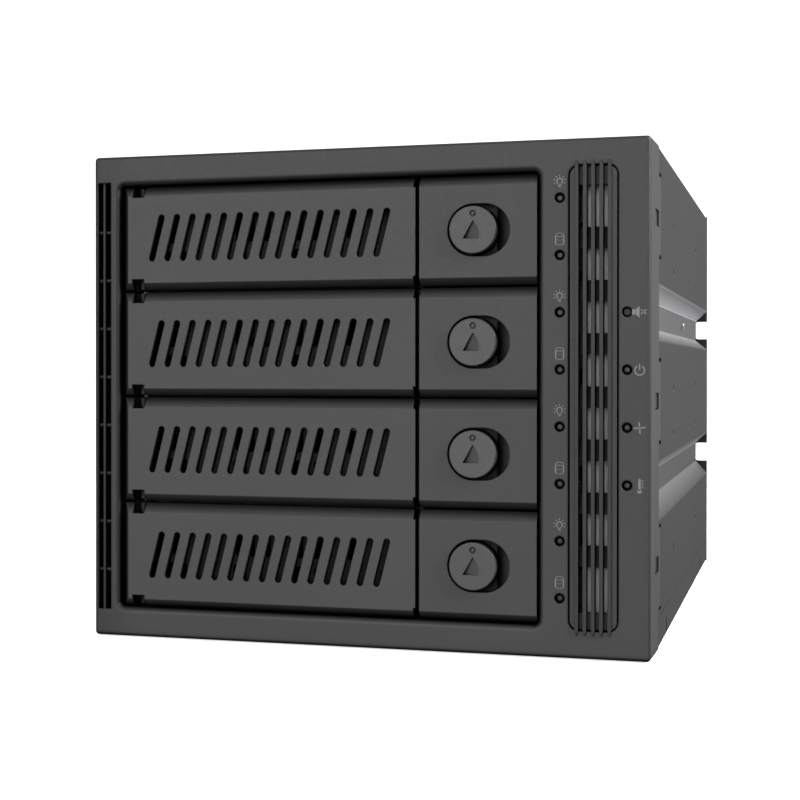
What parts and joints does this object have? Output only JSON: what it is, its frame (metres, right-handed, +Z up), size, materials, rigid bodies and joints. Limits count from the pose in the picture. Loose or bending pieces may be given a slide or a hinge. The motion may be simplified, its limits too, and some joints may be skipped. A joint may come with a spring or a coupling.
{
  "type": "hot swap drive cage",
  "caption": "Black hot swap cage for 3.5 inch drives that fills 5.25 inch bays, with latched trays, status lamps, side grille and rear fan.",
  "frame": {"origin": "under the middle of the cage, on the plane that it stands on", "axes": "+X to the right across the front, +Y from the front to the fan, +Z up"},
  "size_m": [0.1468, 0.2194, 0.1276],
  "materials": {
    "bezel_plastic": "fine moulded grain",
    "grille_plastic": "fine moulded grain",
    "tray_plastic": "fine moulded grain",
    "lever_plastic": "fine moulded grain",
    "button_plastic": "satin",
    "black_sheet": "fine powder coat",
    "guide_sheet": "zinc plated",
    "carrier_sheet": "powder coat",
    "bright_sheet": "bright plated",
    "light_pipe": "clear",
    "circuit_board": "solder mask",
    "zinc_steel": "zinc plated",
    "pin_steel": "ground",
    "spring_steel": "drawn wire",
    "bright_rivet": "bright",
    "black_fastener": "black zinc",
    "socket_plastic": "moulded",
    "inlet_plastic": "moulded",
    "capacitor_can": "sleeved",
    "fan_plastic": "moulded",
    "ribbon_sleeve": "flat lead",
    "wire_sleeve": "sleeved wires"
  },
  "bodies": {
    "cage": {"front_bezel": "bezel_plastic", "vent_grille": "grille_plastic", "vent_baffle": "bright_sheet", "drive_light_pipes": "light_pipe", "status_light_pipes": "light_pipe", "led_board": "circuit_board", "led_board_screws": "zinc_steel", "mute_switch": "socket_plastic", "outer_cover": "black_sheet", "bottom_pan": "black_sheet", "left_guide_wall": "guide_sheet", "right_guide_wall": "guide_sheet", "rear_panel": "black_sheet", "frame_rivets": "black_fastener", "rear_panel_screws": "black_fastener", "channel_rivets": "bright_rivet", "backplane_board": "circuit_board", "drive_sockets": "socket_plastic", "data_ports": "socket_plastic", "power_inlets": "inlet_plastic", "fan_header": "inlet_plastic", "backplane_capacitors": "capacitor_can", "backplane_screws": "zinc_steel", "board_link_lead": "ribbon_sleeve", "board_link_socket": "inlet_plastic", "fan_frame": "fan_plastic", "fan_screws": "black_fastener", "fan_lead": "wire_sleeve"},
    "fan_rotor": {"fan_rotor": "fan_plastic"},
    "mute_button": {"mute_button": "button_plastic"},
    "tray_1": {"tray_front_1": "tray_plastic", "tray_carrier_1": "carrier_sheet", "tray_frame_1": "carrier_sheet", "hinge_pin_1": "pin_steel", "button_spring_1": "spring_steel"},
    "lever_1": {"lever_1": "lever_plastic"},
    "button_1": {"release_button_1": "button_plastic"},
    "tray_2": {"tray_front_2": "tray_plastic", "tray_carrier_2": "carrier_sheet", "tray_frame_2": "carrier_sheet", "hinge_pin_2": "pin_steel", "button_spring_2": "spring_steel"},
    "lever_2": {"lever_2": "lever_plastic"},
    "button_2": {"release_button_2": "button_plastic"},
    "tray_3": {"tray_front_3": "tray_plastic", "tray_carrier_3": "carrier_sheet", "tray_frame_3": "carrier_sheet", "hinge_pin_3": "pin_steel", "button_spring_3": "spring_steel"},
    "lever_3": {"lever_3": "lever_plastic"},
    "button_3": {"release_button_3": "button_plastic"},
    "tray_4": {"tray_front_4": "tray_plastic", "tray_carrier_4": "carrier_sheet", "tray_frame_4": "carrier_sheet", "hinge_pin_4": "pin_steel", "button_spring_4": "spring_steel"},
    "lever_4": {"lever_4": "lever_plastic"},
    "button_4": {"release_button_4": "button_plastic"}
  },
  "joints": [
    {"name": "fan_spin", "type": "hinge", "parent": "cage", "child": "fan_rotor", "pos_m": [-0.022, 0.0952, 0.0638], "axis": [0, 1, 0], "continuous": true},
    {"name": "mute_press", "type": "slide", "parent": "cage", "child": "mute_button", "axis": [0, 1, 0], "range_m": [0, 0.0005], "stiffness_N_per_m": 600, "springref_m": -0.0005},
    {"name": "tray_1_slide", "type": "slide", "parent": "cage", "child": "tray_1", "axis": [0, -1, 0], "range_m": [0, 0.15]},
    {"name": "lever_1_swing", "type": "hinge", "parent": "tray_1", "child": "lever_1", "pos_m": [-0.06045, -0.1041, 0.1055], "axis": [0, 0, -1], "range_deg": [0, 75]},
    {"name": "button_1_press", "type": "slide", "parent": "tray_1", "child": "button_1", "axis": [0, 1, 0], "range_m": [0, 0.0025], "stiffness_N_per_m": 350, "springref_m": -0.002, "deforming": ["button_spring_1"]},
    {"name": "tray_2_slide", "type": "slide", "parent": "cage", "child": "tray_2", "axis": [0, -1, 0], "range_m": [0, 0.15]},
    {"name": "lever_2_swing", "type": "hinge", "parent": "tray_2", "child": "lever_2", "pos_m": [-0.06045, -0.1041, 0.0777], "axis": [0, 0, -1], "range_deg": [0, 75]},
    {"name": "button_2_press", "type": "slide", "parent": "tray_2", "child": "button_2", "axis": [0, 1, 0], "range_m": [0, 0.0025], "stiffness_N_per_m": 350, "springref_m": -0.002, "deforming": ["button_spring_2"]},
    {"name": "tray_3_slide", "type": "slide", "parent": "cage", "child": "tray_3", "axis": [0, -1, 0], "range_m": [0, 0.15]},
    {"name": "lever_3_swing", "type": "hinge", "parent": "tray_3", "child": "lever_3", "pos_m": [-0.06045, -0.1041, 0.0499], "axis": [0, 0, -1], "range_deg": [0, 75]},
    {"name": "button_3_press", "type": "slide", "parent": "tray_3", "child": "button_3", "axis": [0, 1, 0], "range_m": [0, 0.0025], "stiffness_N_per_m": 350, "springref_m": -0.002, "deforming": ["button_spring_3"]},
    {"name": "tray_4_slide", "type": "slide", "parent": "cage", "child": "tray_4", "axis": [0, -1, 0], "range_m": [0, 0.15]},
    {"name": "lever_4_swing", "type": "hinge", "parent": "tray_4", "child": "lever_4", "pos_m": [-0.06045, -0.1041, 0.0221], "axis": [0, 0, -1], "range_deg": [0, 75]},
    {"name": "button_4_press", "type": "slide", "parent": "tray_4", "child": "button_4", "axis": [0, 1, 0], "range_m": [0, 0.0025], "stiffness_N_per_m": 350, "springref_m": -0.002, "deforming": ["button_spring_4"]}
  ]
}
